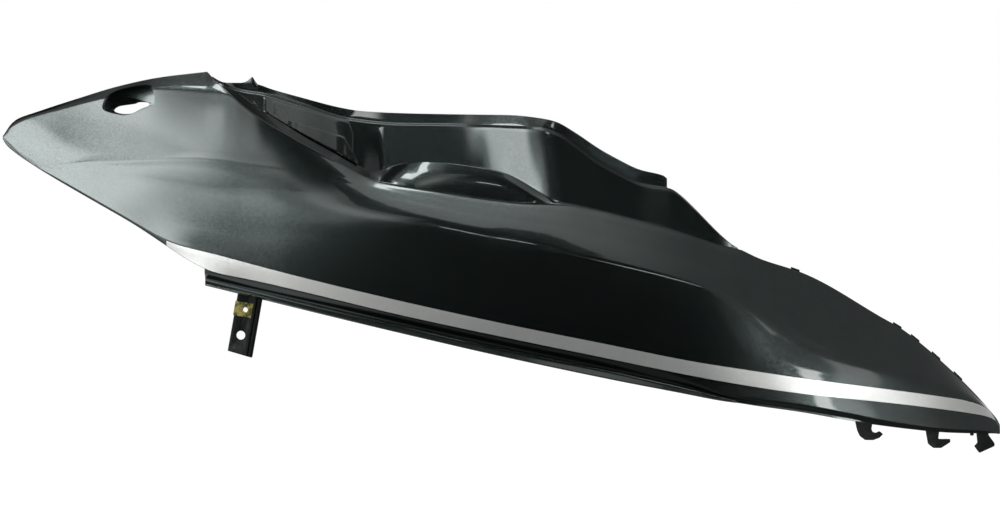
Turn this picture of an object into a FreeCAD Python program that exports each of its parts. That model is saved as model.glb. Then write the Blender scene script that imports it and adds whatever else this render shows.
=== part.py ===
import FreeCAD, Part
import math, os

V = FreeCAD.Vector

# Driving dimensions in millimetres. The panel stands as in use: +X from the front tip to the tail,
# +Z up, and the painted outside faces -Y.
LENGTH = 915.0
HEIGHT = 333.0
DEPTH = 100.0
WALL = 2.6
FILM = 0.35
FILM_GAP = 0.25
LEG_HOLE = 8.0
LEG_WIDTH = 23.0
LEG_PLATE = 3.0
SMALL_HOLE = 4.6
HOOK_PLATE = 4.0
POCKET_DEPTH = 16.0
CLIP_SHEET = 0.8
DOME = 1.8
SHELF_DROP = 1.2
FIELD_RISE = 1.0
TAB_WIDTH = 8.0
TAB_RISE = 1.8

# Rails are drawn at 915 long, 333 high and 100 deep and follow the three values above.
SX = LENGTH / 915.0
SY = DEPTH / 100.0
SZ = HEIGHT / 333.0

# Where the leg's large hole sits on the drawing: this point becomes the origin.
HOLE_X, HOLE_Y, HOLE_Z = 219.0, 36.0, 92.0


def smooth(points, x, k, ease):
    """Value k of a rail at x, averaged over a short length so that the surface has no flat spots."""
    w = min(ease, max(0.0, x - points[0][0]), max(0.0, points[-1][0] - x))
    return sum((3 - abs(i)) * cubic(points, x + i * w / 3, k) for i in range(-2, 3)) / 9


def cubic(points, x, k):
    """A monotone cubic through the rail's points, so it never swings past them."""
    n = len(points)
    if x <= points[0][0]:
        return points[0][k]
    if x >= points[-1][0]:
        return points[-1][k]
    i = 0
    while points[i + 1][0] < x:
        i += 1

    def slope(a):
        return (points[a + 1][k] - points[a][k]) / (points[a + 1][0] - points[a][0])

    def tangent(a):
        if a == 0:
            return slope(0)
        if a == n - 1:
            return slope(n - 2)
        before, after = slope(a - 1), slope(a)
        if before * after <= 0:
            return 0.0
        return 2 * before * after / (before + after)

    h = points[i + 1][0] - points[i][0]
    t = (x - points[i][0]) / h
    a, b = points[i][k], points[i + 1][k]
    m, n2 = tangent(i) * h, tangent(i + 1) * h
    return ((2 * t ** 3 - 3 * t ** 2 + 1) * a + (t ** 3 - 2 * t ** 2 + t) * m
            + (3 * t ** 2 - 2 * t ** 3) * b + (t ** 3 - t ** 2) * n2)


# Outer edge of the main face: front wing up to the peak, then the shoulder crease, then the tail's back.
TOP_FRONT = [(0, 52, 275.5), (5, 52, 281), (12, 52, 288.5), (31, 51.5, 295.5), (68, 50, 307.5),
             (106, 50, 319), (143, 50.5, 327), (187, 54, 332.5)]
TOP_MID = [(187, 54, 332.5), (194, 47, 325.5), (202, 41.5, 318), (211, 37, 310), (219, 34.5, 302.5),
           (237, 31.5, 289), (273, 28.5, 268), (310, 26.5, 248), (337, 25.5, 234), (346, 25, 231.5),
           (391, 23, 224), (445, 22, 215.5), (480, 21.5, 212), (505, 21.5, 211.5), (545, 22.5, 204.5),
           (581, 24, 195.5), (618, 26.5, 185.5), (654, 29.5, 174), (674, 31.5, 169.5)]
TOP_TAIL = [(674, 31.5, 169.5), (691, 34, 161.5), (728, 41, 149.5), (747, 45, 141), (803, 60, 108.5),
            (822, 66, 98), (841, 72, 84), (879, 86, 51), (899, 92.5, 31), (909, 95.5, 19.5), (914, 97, 14),
            (917, 97.5, 8)]
# Start of the rolled top edge on the front wing; it dies out in the shoulder behind the peak.
ROLL = [(0, 51.5, 274.5), (15, 49, 287), (52, 46, 296.5), (94, 43.5, 306), (142, 41.5, 314.5),
        (187, 40, 315), (202, 37.5, 312), (211, 35.5, 306)]
# Upper crease: rises from the lower outline, runs level and meets the shoulder.
CREASE_1 = [(0, 51, 273), (22, 47, 255.5), (36, 43.5, 246.5), (44, 41.5, 244.5), (62, 38.5, 247.5),
            (81, 36, 249.5), (137, 29.5, 252), (169, 26.5, 253), (187, 24.8, 252.5), (228, 21.5, 247.5),
            (265, 19.5, 243.5), (301, 18.5, 237), (337, 18.5, 226), (391, 16, 214), (445, 14.5, 204),
            (505, 13.5, 197.5), (545, 14.5, 189), (581, 16, 180), (618, 18, 168.5), (654, 21, 156),
            (674, 23, 149), (728, 31, 118), (803, 50, 82), (879, 77.5, 43.5), (909, 93.3, 15.5),
            (917, 97.2, 6.8)]
# Lower crease: soft at its left end, sharp in the middle, bends down and fades before the tail.
CREASE_2 = [(0, 50.5, 271.5), (22, 46.5, 253), (44, 40, 240), (81, 33.5, 233), (137, 26, 218.5),
            (187, 20.5, 207), (230, 15.5, 203.5), (274, 10.5, 203), (334, 5, 200), (379, 2.5, 195.5),
            (454, 0.8, 179.5), (496, 0.5, 171.5), (544, 1, 160.5), (581, 2.5, 152), (617, 5, 143),
            (652, 8.5, 132.5), (671, 11, 125), (689, 14.5, 110), (706, 18, 93), (722, 21, 78),
            (760, 29.5, 67), (820, 47.5, 54), (879, 73, 38.5), (909, 91.8, 13), (917, 96.8, 5.5)]
STRIPE_TOP = [(0, 50.5, 270), (22, 45.5, 251.5), (64, 37, 229.5), (101, 31, 208.5), (133, 27, 190),
              (147, 25.5, 179), (165, 22.5, 172.5), (187, 20, 168), (228, 16, 157), (274, 11.5, 145),
              (364, 6, 123.5), (455, 3.5, 103.5), (545, 4, 85.5), (635, 8, 67.5), (674, 11.5, 61.5),
              (726, 19.5, 53.5), (819, 46, 41), (873, 68, 34), (897, 82, 29), (909, 90.8, 11),
              (917, 96.4, 4.3)]
STRIPE_LOW = [(0, 51, 268.5), (8, 49.5, 261.5), (22, 47, 251), (64, 38.5, 226), (101, 32.5, 205),
              (133, 28.5, 186.5), (147, 27, 176), (165, 24.5, 165), (181, 22.5, 154), (187, 21.5, 151),
              (228, 18.5, 143), (274, 14, 132.5), (364, 8.5, 111), (455, 6, 91.5), (545, 6.5, 73),
              (635, 10.5, 54.5), (674, 14.5, 47.5), (727, 23, 39.5), (820, 49.5, 28), (873, 70.5, 21),
              (902, 85, 15), (909, 89.8, 8.5), (917, 96, 3.2)]
TURN = [(187, 22, 149), (228, 19, 141), (274, 14.5, 130.5), (364, 9, 109), (455, 6.5, 89.5), (545, 7, 71),
        (600, 9, 60), (636, 12, 46.5), (654, 14.5, 39), (674, 17.5, 35.5), (727, 25.5, 28.5),
        (773, 37.5, 20), (801, 45.5, 14.5), (820, 52, 11), (845, 60.5, 7.5), (873, 71, 4.6),
        (902, 85.5, 3.2), (917, 95.6, 2.2)]
GROOVE = [(187, 31, 143.5), (228, 27, 133.5), (274, 23, 123), (364, 18, 102.5), (455, 16, 82),
          (545, 17, 63), (599, 18, 51), (636, 20, 42), (654, 21, 36.2), (674, 22, 33), (727, 30, 25.8),
          (778, 42, 16), (801, 47.5, 12), (820, 54, 8.9), (845, 61.8, 5.6), (873, 72, 3), (902, 86, 1.8),
          (917, 95.3, 1.1)]
LIP = [(187, 28, 138.5), (228, 24, 128.5), (274, 20, 117), (364, 14.5, 95.5), (455, 12.5, 74.5),
       (545, 13, 55.5), (636, 18, 37.5), (681, 23, 29), (727, 31, 22.5), (778, 42.5, 13), (820, 55.5, 6.8),
       (868, 71.5, 1.6), (902, 86.4, 0.4), (917, 95, 0)]

# Behind the shoulder: wall foot (ledge line, then the arc of the domed bulge), wall top and seat flange.
FOOT_LEDGE = [(191, 52, 325.4), (210, 50, 316), (217, 49.5, 312), (226, 50, 305), (272, 51.5, 276),
              (318, 53, 250.5), (336, 52.5, 239.5)]
FOOT_DOME = [(336, 52.5, 239.5), (343, 50.5, 241.5), (354, 46.5, 245.5), (368, 41.5, 248.5), (386, 37, 250),
             (404, 34.5, 249), (427, 32.5, 246), (445, 31.5, 243), (459, 30.5, 239.5), (473, 29.5, 233),
             (486, 28.3, 225), (505, 26, 213.5)]
WALL_TOP = [(191, 57, 326.2), (211, 61, 316.5), (225, 62, 313.5), (234, 62.5, 312.5), (271, 65, 302.5),
            (317, 68.5, 289), (363, 69.5, 284.5), (409, 70, 284), (430, 69.5, 283), (445, 67.5, 282.5),
            (463, 64, 281.6), (479, 60.8, 280.9), (491, 58.5, 280), (509, 57, 274), (528, 56.5, 261),
            (546, 56, 248), (564, 55.8, 238), (583, 55.5, 229), (596, 55, 227), (610, 54.5, 227.5),
            (619, 53.5, 223.5), (629, 52, 213.5), (640, 49.8, 201.2), (650, 47, 190.2), (658, 43.8, 182.4),
            (666, 40, 175.9), (674, 36, 170.5)]
FLANGE = [(191, 63, 328.5), (202, 66, 323), (216, 68, 323), (231, 69, 322), (244, 70, 317.5),
          (271, 72, 310), (308, 74.5, 300.5), (326, 75.5, 297.5), (363, 76.5, 295.5), (409, 77, 294.5),
          (430, 76.5, 294.2), (464, 71.5, 293.5), (488, 66, 291), (505, 63.8, 287.5), (523, 63, 277.5),
          (546, 62.5, 262), (564, 62.2, 252), (583, 61.8, 243), (596, 61.3, 240), (604, 60.8, 238),
          (607.5, 60.5, 235)]

# Ends of the lofts, where the outline has a corner: the ends of the rails.
TIP = TOP_FRONT[0][0] + 0.5
PEAK, TAIL, END = TOP_FRONT[-1][0], TOP_MID[-1][0], TOP_TAIL[-1][0]
STEP, VALLEY, FOLD = FOOT_LEDGE[0][0], FOOT_LEDGE[-1][0], FOOT_DOME[-1][0]
FLANGE_END = FLANGE[-1][0]
RECESS_END = TAIL - 3
ROLL_END = ROLL[-1][0]

# Length over which a rail is eased: long on the open face, short where the outline turns sharply.
FACE_EASE = 30.0
EDGE_EASE = 6.0


def at(rail, x, ease=FACE_EASE):
    """Depth and height of a rail at x."""
    return smooth(rail, x, 1, ease), smooth(rail, x, 2, ease)


def top(x):
    return at(TOP_FRONT if x < PEAK else TOP_MID if x < TAIL else TOP_TAIL, x, EDGE_EASE)


def roll(x):
    """Start of the rolled top edge: its own rail on the wing, then a narrow bevel along the crest."""
    if x < ROLL_END:
        return at(ROLL, x, EDGE_EASE)
    y, z = top(x)
    low = at(CREASE_1, x)
    drop = min(4.0, 0.4 * (z - low[1]))
    return y - 0.4 * drop, z - drop


def bulge(x):
    """How far the dome stands out of the straight line from shoulder to wall foot."""
    if x <= VALLEY or x >= FOLD:
        return 0.0
    return DOME * math.sin(math.pi * (x - VALLEY) / (FOLD - VALLEY)) ** 0.8


def foot(x):
    """Front edge of the shelf at the wall's foot; behind the dome it follows the crest."""
    if x < FOLD:
        return at(FOOT_LEDGE if x < VALLEY else FOOT_DOME, x, EDGE_EASE)
    y, z = top(x)
    t = (x - FOLD) / (TAIL - FOLD)
    return y + 4.5 - 1.5 * t, z + 2.0 - 1.4 * t


def lean(x):
    """How much the wall leans back for its height: more in front, where the seat's edge flares."""
    t = min(1.0, max(0.0, (x - 312) / 34))
    return 0.45 - 0.22 * t


def face_profile(x, lower):
    """Outer line of the main face at station x, from the top edge down."""
    line = [top(x), roll(x), at(CREASE_1, x), at(CREASE_2, x), at(STRIPE_TOP, x), at(STRIPE_LOW, x)]
    if lower:
        line += [at(TURN, x), at(GROOVE, x), at(LIP, x)]
    return line


def recess_profile(x, flange, domed):
    """Outer line of ledge or dome, shelf, wall and flange at station x, from the top down."""
    ty, tz = top(x)
    sy, sz = ty + 1.2, tz - 0.9
    fy, fz = foot(x)
    wy, wz = at(WALL_TOP, x, EDGE_EASE)
    by, bz = max(fy + 1.6, wy - lean(x) * (wz - fz)), fz - SHELF_DROP
    line = [(wy, wz), (by, bz), (fy, fz)]
    if domed:
        chord = math.hypot(fy - sy, fz - sz)
        ny, nz = -(fz - sz) / chord, (fy - sy) / chord
        b = bulge(x)
        line += [(sy + t * (fy - sy) + b * ny, sz + t * (fz - sz) + b * nz) for t in (2 / 3, 1 / 3)]
    line.append((sy, sz))
    if flange:
        gy, gz = at(FLANGE, x, EDGE_EASE)
        line = [(gy, gz), (wy + 4.8, wz + 1.6)] + line
    return line


def thicken(line, thick):
    """Closed section: the outer line and the same line set in by the wall thickness."""
    n = len(line)
    normals = []
    for (y0, z0), (y1, z1) in zip(line, line[1:]):
        d = math.hypot(y1 - y0, z1 - z0)
        normals.append(((z0 - z1) / d, (y1 - y0) / d))
    inner = []
    for i, (y, z) in enumerate(line):
        if i == 0:
            ny, nz = normals[0]
            k = 1.0
        elif i == n - 1:
            ny, nz = normals[-1]
            k = 1.0
        else:
            ay, az = normals[i - 1]
            by, bz = normals[i]
            ny, nz = ay + by, az + bz
            d = math.hypot(ny, nz)
            ny, nz = ny / d, nz / d
            k = 1.0 / max(0.5, ny * ay + nz * az)
        inner.append((y + thick * k * ny, z + thick * k * nz))
    return line + inner[::-1]


def place(x, y, z):
    return V((x - HOLE_X) * SX, (y - HOLE_Y) * SY, (z - HOLE_Z) * SZ)


def stations(start, end, extra, step):
    xs = {start, end}
    count = max(2, int(round((end - start) / step)))
    for i in range(count + 1):
        xs.add(round(start + (end - start) * i / count, 3))
    for x in extra:
        if start < x < end:
            xs = {v for v in xs if abs(v - x) > 3 or v in (start, end)}
            xs.add(x)
    return sorted(xs)


def loft(profile, xs, thick):
    wires = []
    for x in xs:
        pts = [place(x, y, z) for y, z in thicken(profile(x), thick)]
        wires.append(Part.makePolygon(pts + pts[:1]))
    solid = Part.makeLoft(wires, True, False)
    if solid.Volume < 0:
        solid.reverse()
    return solid


def across(x, parts):
    """A closed section in the plane at station x from (y, z) pairs."""
    pts = [place(x, y, z) for y, z in parts]
    return Part.makePolygon(pts + pts[:1])


def ruled(wires):
    solid = Part.makeLoft(wires, True, True)
    if solid.Volume < 0:
        solid.reverse()
    return solid


def plate(outline, y0, y1):
    """Flat plate from an (x, z) outline on the drawing, between two depths."""
    pts = [place(x, y0, z) for x, z in outline]
    face = Part.Face(Part.makePolygon(pts + pts[:1]))
    return face.extrude(V(0, (y1 - y0) * SY, 0))


def between(line, z):
    """Depth of a section line at height z."""
    for (y0, z0), (y1, z1) in zip(line, line[1:]):
        if z1 <= z <= z0 and z0 > z1:
            return y0 + (y1 - y0) * (z0 - z) / (z0 - z1)
    return line[-1][0]


# The screw pocket near the front and the opening in its floor, as (x, z).
POCKET = [(93.5, 297), (93.5, 305), (97, 310), (104, 314.5), (114, 317.5), (125, 319.5), (134, 320),
          (138.5, 317.5), (140, 311), (139, 301), (127, 296), (117, 292.5), (108, 292.5)]
POCKET_SLOT = [(101.5, 297), (106, 301), (120, 303.2), (124.5, 304.8), (132, 304.5), (133.5, 302),
               (126, 298.8), (117.5, 294.6), (108, 294.4)]


def spread(outline, d):
    """The outline pushed outward by d."""
    cx = sum(p[0] for p in outline) / len(outline)
    cz = sum(p[1] for p in outline) / len(outline)
    out = []
    for x, z in outline:
        r = math.hypot(x - cx, z - cz)
        out.append((x + d * (x - cx) / r, z + d * (z - cz) / r))
    return out


def make_pocket():
    """Bucket behind the skin with a slotted floor, and the cutter that opens it to the outside."""
    floor = 44.0 + POCKET_DEPTH
    wires = []
    for x in (90.5, 100, 110, 120, 130, 143):
        line = face_profile(x, False)
        bottom, upper = 289.5, min(321.5, line[0][1] - 2.2)
        front = [(between(line, z) + 1.0, z) for z in (upper, 306, bottom)]
        wires.append(across(x, front + [(floor + 2.0, bottom), (floor + 2.0, upper)]))
    block = ruled(wires).common(plate(spread(POCKET, 2.2), 30, floor + 2.0))
    hollow = plate(POCKET, 30, floor)
    slot = plate(POCKET_SLOT, 30, floor + 10)
    return block, hollow, slot


# The mounting leg in its own axes: u across, w along, origin at the large hole.
LEG_LEAN = math.radians(10)
LEG_LEFT = -9.3
LEG_RIGHT = LEG_LEFT + LEG_WIDTH
LEG_TOP = 72.0
LEG_PITCH = 23.5
RIB = 1.6
RIB_RISE = 2.6
PAD_RISE = 1.2
# The block between leg and skin: how far it reaches across and above the large hole.
BLOCK_XS = (-8.5, 1, 12, 25)
BLOCK_LOW, BLOCK_HIGH = 56.0, 71.0


def leg_point(u, w, y):
    c, s = math.cos(LEG_LEAN), math.sin(LEG_LEAN)
    return V(u * c + w * s, y, w * c - u * s)


def leg_plate(outline, y0, y1):
    pts = [leg_point(u, w, y0) for u, w in outline]
    return Part.Face(Part.makePolygon(pts + pts[:1])).extrude(V(0, y1 - y0, 0))


def leg_bore(u, w, d):
    return Part.makeCylinder(d / 2, 60, leg_point(u, w, -30), V(0, 1, 0))


def make_leg():
    """Leg with its two ribs and back pad, the block that joins it to the skin, and its two holes."""
    half = LEG_PLATE / 2
    leg = leg_plate([(LEG_LEFT, -16), (LEG_RIGHT - 0.8, -18.5), (LEG_RIGHT, -17.5), (LEG_RIGHT, LEG_TOP),
                     (LEG_LEFT, LEG_TOP)], -half, half)
    for u in (LEG_RIGHT - 5 - RIB, LEG_RIGHT - 1.8 - RIB):
        outline = [(u, -17.6), (u + RIB, -17.8), (u + RIB, LEG_TOP - 6), (u, LEG_TOP - 6)]
        leg = leg.fuse(leg_plate(outline, -half - RIB_RISE, 0))
    right, low, high = LEG_RIGHT - 6, 9.5, LEG_TOP - 2
    pad = [(LEG_LEFT, low), (right, low), (right, high), (LEG_LEFT, high)]
    leg = leg.fuse(leg_plate(pad, 0, half + PAD_RISE))
    wires = []
    low, high = HOLE_Z + BLOCK_LOW / SZ, HOLE_Z + BLOCK_HIGH / SZ
    back = HOLE_Y + half / SY
    for across_x in BLOCK_XS:
        x = HOLE_X + across_x / SX
        line = face_profile(x, True)
        wires.append(across(x, [(between(line, high) + 1.2, high), (between(line, low) + 1.2, low),
                                (back, low), (back, high)]))
    leg = leg.fuse(ruled(wires))
    leg = leg.cut(leg_bore(0, 0, LEG_HOLE))
    return leg.cut(leg_bore(0, LEG_PITCH, SMALL_HOLE))


# Snap hooks under the tail, as (x, z) outlines.
HOOK_1 = [(778, 14.5), (780, 5.5), (782.5, 0), (787.5, -3.8), (795, -4), (801, -2), (804.5, 1.5),
          (801, 4.2), (797.5, 2.6), (794.5, 3.6), (793.5, 6), (794.5, 12.5)]
HOOK_2 = [(844.5, 5.5), (847, -8), (852, -12), (859.5, -12.2), (868.3, -7), (868.3, -4), (856.8, -3.8),
          (857.8, 4.2)]
HOOK_3 = [(893.5, 2.2), (894.7, -8), (891.5, -11), (896.5, -17.5), (911.5, -11.5), (911.5, -8.8),
          (905.5, -1), (905.8, 1.6)]


# Short stop under the tail between the second and third hook.
STOP = [(887.5, 4), (887.5, -1.3), (891, -1.3), (891, 4)]
# Pointed end of the seat flange behind the peak.
SPIKE = [(216.5, 318), (217.5, 323), (222.5, 324.6), (227.4, 328.6), (229.6, 325), (232.5, 321.4),
         (232.5, 316)]


def make_hook(outline):
    """Plate that follows the lower edge in plan, moulded on below it."""
    x0 = min(p[0] for p in outline)
    x1 = max(p[0] for p in outline)
    ya, yb = at(LIP, x0)[0], at(LIP, min(x1, END))[0]
    front = plate(outline, 0, 200)
    wires = []
    slope = (yb - ya) / (x1 - x0)
    for x, y in ((x0 - 1, ya - slope - 0.3), (x1 + 1, yb + slope - 0.3)):
        wires.append(across(x, [(y, -25), (y + HOOK_PLATE, -25), (y + HOOK_PLATE, 25), (y, 25)]))
    return front.common(ruled(wires))


def edge_tab(x, width, rise):
    """Small locating tab behind the tail's upper edge."""
    wires = []
    for s in (x - width / 2, x + width / 2):
        y, z = top(s)
        y0, y1 = y + 0.6, y + 3.0
        wires.append(across(s, [(y0, z - 3.5), (y1, z - 3.5), (y1, z + rise), (y0, z + rise)]))
    return ruled(wires)


# Upper edges, as (x, z), of the two raised fields on the left part of the wall; both end in a slanted step.
UPPER_FIELD = [(238, 309.6), (254, 304.8), (272, 299.8), (290, 294.8), (304, 291), (316, 288), (320.5, 276)]
LOWER_FIELD = [(229, 306), (238, 298.6), (248.5, 293.2), (265, 287.2), (290, 280), (312.5, 273.2),
               (324.5, 250.5)]


def make_field(edge, low, rise):
    """Field that stands out of the wall by rise, from low(x) up to its edge."""
    wires = []
    for x, z in edge:
        line = recess_profile(x, False, True)
        a, b = between(line, z), between(line, low(x))
        wires.append(across(x, [(a - rise, z), (b - rise, low(x)), (b + 1.5, low(x)), (a + 1.5, z)]))
    return ruled(wires)


def make_fields():
    upper = make_field(UPPER_FIELD, lambda x: cubic(LOWER_FIELD, x, 1) - 4, FIELD_RISE)
    lower = make_field(LOWER_FIELD, lambda x: foot(x)[1] + 1.2, 2 * FIELD_RISE)
    return [upper, lower]


FRONT_XS = [TIP, 3, 8, 16, 30, 50, 72, 98, 124, 147, 165, 176, PEAK]
MID_XS = stations(PEAK, TAIL, [194, 203, 212], 26)
TAIL_XS = stations(TAIL, END, [END - 8], 20)
TAB_XS = (723.5, 819, 836, 856, 877)
STRIPE_START, STRIPE_END = 151.0, 905.0


def make_panel():
    skin = [
        loft(lambda x: face_profile(x, False), FRONT_XS, WALL),
        loft(lambda x: face_profile(x, True), MID_XS, WALL),
        loft(lambda x: face_profile(x, True), TAIL_XS, WALL),
    ]
    back = [
        loft(lambda x: recess_profile(x, True, True), stations(STEP, VALLEY, [], 15), WALL),
        loft(lambda x: recess_profile(x, True, True), stations(VALLEY, FOLD, [], 13), WALL),
        loft(lambda x: recess_profile(x, True, False), stations(FOLD, FLANGE_END, [], 13), WALL),
        loft(lambda x: recess_profile(x, False, False), stations(FLANGE_END, RECESS_END, [], 12), WALL),
    ]
    panel = skin[0].fuse(skin[1:] + back)
    block, hollow, slot = make_pocket()
    panel = panel.fuse(block).cut(hollow).cut(slot)
    flange_y = at(FLANGE, SPIKE[3][0], EDGE_EASE)[0]
    extras = [make_leg(), plate(SPIKE, flange_y - 0.3, flange_y + WALL)]
    extras += make_fields()
    extras += [make_hook(h) for h in (HOOK_1, HOOK_2, HOOK_3, STOP)]
    extras += [edge_tab(x, TAB_WIDTH, TAB_RISE) for x in TAB_XS]
    return panel.fuse(extras)


def make_stripe():
    """Silver film on the band between the two stripe rails, a hair clear of the face under it."""
    skin_xs = sorted(set(FRONT_XS + MID_XS + TAIL_XS))
    shared = [x for x in skin_xs if STRIPE_START + 9 < x < STRIPE_END - 5]
    wires = []
    for x in [STRIPE_START, STRIPE_START + 7] + shared + [STRIPE_END]:
        y0, z0 = at(STRIPE_TOP, x)
        y1, z1 = at(STRIPE_LOW, x)
        z0, z1 = z0 - 0.2, z1 + 0.6
        d = math.hypot(y1 - y0, z1 - z0)
        ny, nz = (z1 - z0) / d, (y0 - y1) / d
        near, far = FILM_GAP, FILM_GAP + FILM
        wires.append(across(x, [(y0 + far * ny, z0 + far * nz), (y1 + far * ny, z1 + far * nz),
                                (y1 + near * ny, z1 + near * nz), (y0 + near * ny, z0 + near * nz)]))
    band = Part.makeLoft(wires, True, False)
    if band.Volume < 0:
        band.reverse()
    return band


def make_clip():
    """Sheet clip pushed over the leg's left edge, its two leaves over the small hole."""
    half = LEG_PLATE / 2
    lower, upper = LEG_PITCH - 6.5, LEG_PITCH + 6.5
    edge = LEG_LEFT - CLIP_SHEET
    end = 6.2
    back = half + PAD_RISE
    outline = [(edge, lower), (end, lower), (end, upper), (edge, upper)]
    clip = leg_plate(outline, -half - CLIP_SHEET, back + CLIP_SHEET)
    over = end + 1
    inside = [(LEG_LEFT, lower - 1), (over, lower - 1), (over, upper + 1), (LEG_LEFT, upper + 1)]
    clip = clip.cut(leg_plate(inside, -half, back))
    foot_point = leg_point(0, LEG_PITCH, back + CLIP_SHEET / 2)
    clip = clip.fuse(Part.makeCylinder(SMALL_HOLE / 2 + 1.6, 3.0, foot_point, V(0, 1, 0)))
    return clip.cut(leg_bore(0, LEG_PITCH, SMALL_HOLE))


def report(name, shape):
    print(name, "valid", shape.isValid(), "solids", len(shape.Solids), "faces", len(shape.Faces),
          "volume", round(shape.Volume))


def main():
    os.makedirs("parts", exist_ok=True)
    panel = make_panel()
    report("side_panel", panel)
    stripe = make_stripe()
    report("stripe", stripe)
    clip = make_clip()
    report("clip_nut", clip)
    panel.exportStep("parts/side_panel.step")
    stripe.exportStep("parts/stripe.step")
    clip.exportStep("parts/clip_nut.step")


main()
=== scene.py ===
"""Dresses the scooter side panel: painted skin, silver film, black leg and hooks, yellow clip."""
import math

import bpy
import bmesh
import numpy as np
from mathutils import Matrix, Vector


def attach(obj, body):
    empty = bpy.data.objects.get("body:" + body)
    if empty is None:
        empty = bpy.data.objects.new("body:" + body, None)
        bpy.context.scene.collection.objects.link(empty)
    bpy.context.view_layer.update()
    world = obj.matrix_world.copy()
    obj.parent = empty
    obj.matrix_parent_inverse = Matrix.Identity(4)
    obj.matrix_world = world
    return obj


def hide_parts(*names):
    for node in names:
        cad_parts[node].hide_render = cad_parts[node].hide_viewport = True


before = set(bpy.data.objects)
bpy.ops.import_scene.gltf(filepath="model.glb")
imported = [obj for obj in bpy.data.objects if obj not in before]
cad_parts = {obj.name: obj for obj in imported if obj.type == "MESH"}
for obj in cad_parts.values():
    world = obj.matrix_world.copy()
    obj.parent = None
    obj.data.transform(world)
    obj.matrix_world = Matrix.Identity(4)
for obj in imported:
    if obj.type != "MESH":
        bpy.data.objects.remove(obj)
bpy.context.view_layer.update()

# The drawing is in millimetres from the front tip; the model's origin is the leg's large hole.
HOLE_X, HOLE_Y, HOLE_Z = 219.0, 36.0, 92.0
WALL = 2.6
# Height of the domed bulge, drop of the shelf behind it, and bevel of the crest.
DOME, SHELF_DROP, CREST_BEVEL = 1.8, 1.2, 1.4
STRIPE_START, STRIPE_END = 151.0, 912.0

# Outer edge of the main face: front wing up to the peak, then the shoulder crease, then the tail's back.
TOP_FRONT = [(0, 52, 275.5), (5, 52, 281), (12, 52, 288.5), (31, 51.5, 295.5), (68, 50, 307.5),
             (106, 50, 319), (143, 50.5, 327), (187, 54, 332.5)]
TOP_MID = [(187, 54, 332.5), (194, 47, 325.5), (202, 41.5, 318), (211, 37.2, 310), (219, 35.3, 302.5),
           (237, 31.8, 289), (273, 28.5, 268), (310, 26.5, 248), (337, 25.5, 234), (346, 25, 231.5),
           (391, 23, 224), (445, 22, 215.5), (480, 21.5, 212), (505, 21.5, 211.5), (545, 22.5, 204.5),
           (581, 24, 195.5), (618, 26.5, 185.5), (654, 29.5, 174), (674, 31.5, 169.5)]
TOP_TAIL = [(674, 31.5, 169.5), (691, 34, 161.5), (728, 41, 149.5), (747, 45, 141), (803, 60, 108.5),
            (822, 66, 98), (841, 72, 84), (879, 86, 51), (899, 92.5, 31), (909, 95.5, 19.5), (914, 97, 14),
            (917, 97.5, 8)]
# Start of the rolled top edge on the front wing; it dies out in the shoulder behind the peak.
ROLL = [(0, 51.5, 274.5), (15, 49, 287.5), (52, 46.2, 298), (94, 44, 308.8), (142, 41.8, 317.3),
        (187, 40, 316), (202, 38.3, 313.4), (211, 36.6, 308.6)]
# Upper crease: rises from the lower outline, runs level and meets the shoulder.
CREASE_1 = [(0, 51, 273), (22, 47, 255.5), (36, 43.5, 246.5), (44, 41.5, 244.5), (62, 38.5, 247.5),
            (81, 36, 249.5), (137, 29.5, 252), (169, 26.5, 253), (187, 24.8, 252.5), (228, 21.5, 247.5),
            (265, 19.8, 243.5), (301, 20.5, 237), (337, 19.6, 226), (391, 16, 214), (445, 14.5, 204),
            (505, 13.5, 197.5), (545, 14.5, 189), (581, 16, 180), (618, 18, 168.5), (654, 21, 156),
            (674, 23, 149), (728, 31, 118), (803, 50, 82), (879, 77.5, 43.5), (899, 90, 29.9),
            (909, 94.6, 18.8), (917, 97.2, 7.2)]
# Lower crease: soft at its left end, sharp in the middle, bends down and fades before the tail.
CREASE_2 = [(0, 50.5, 271.5), (22, 46.8, 253), (44, 41.2, 240), (81, 35.1, 233), (137, 26.4, 218.5),
            (187, 20.5, 207), (230, 15.5, 203.5), (274, 10.5, 203), (334, 5, 200), (379, 2.5, 195.5),
            (454, 0.8, 179.5), (496, 0.5, 171.5), (544, 1, 160.5), (581, 2.5, 152), (617, 5, 143),
            (652, 8.5, 132.5), (671, 11, 125), (689, 14.5, 110), (706, 18, 93), (722, 21, 78),
            (760, 29.5, 67), (820, 47.5, 54), (879, 73, 38.5), (899, 87.5, 29.2), (909, 93.7, 18.1),
            (917, 96.8, 6.6)]
STRIPE_TOP = [(0, 50.5, 270), (22, 46, 251.5), (64, 37.6, 227.8), (101, 31.6, 206.8), (133, 27.6, 188.4),
              (147, 25.8, 179), (165, 22.5, 172.5), (187, 20, 168), (228, 16, 157), (274, 11.5, 145),
              (364, 6, 123.5), (455, 3.5, 103.5), (545, 4, 85.5), (635, 8, 67.5), (674, 12.4, 61.5),
              (726, 21.1, 53.5), (819, 47.2, 41), (873, 68.3, 33), (898, 83.5, 28.5), (909, 92.6, 17.2),
              (917, 96.4, 6)]
STRIPE_LOW = [(0, 51, 268.5), (8, 49.5, 261.5), (22, 47, 251), (64, 38.5, 226), (101, 32.5, 205),
              (133, 28.5, 186.5), (147, 27, 176), (165, 24.5, 165), (181, 22.5, 154), (187, 21.5, 151),
              (228, 18.5, 143), (274, 14, 132.5), (364, 8.5, 111), (455, 6, 91.5), (545, 6.5, 73),
              (635, 10.5, 54.5), (674, 14.5, 47.5), (727, 23, 39.5), (820, 49.5, 29), (873, 70.5, 21.8),
              (902, 86.5, 17), (911, 92.6, 13.4), (917, 96, 5)]
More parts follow.
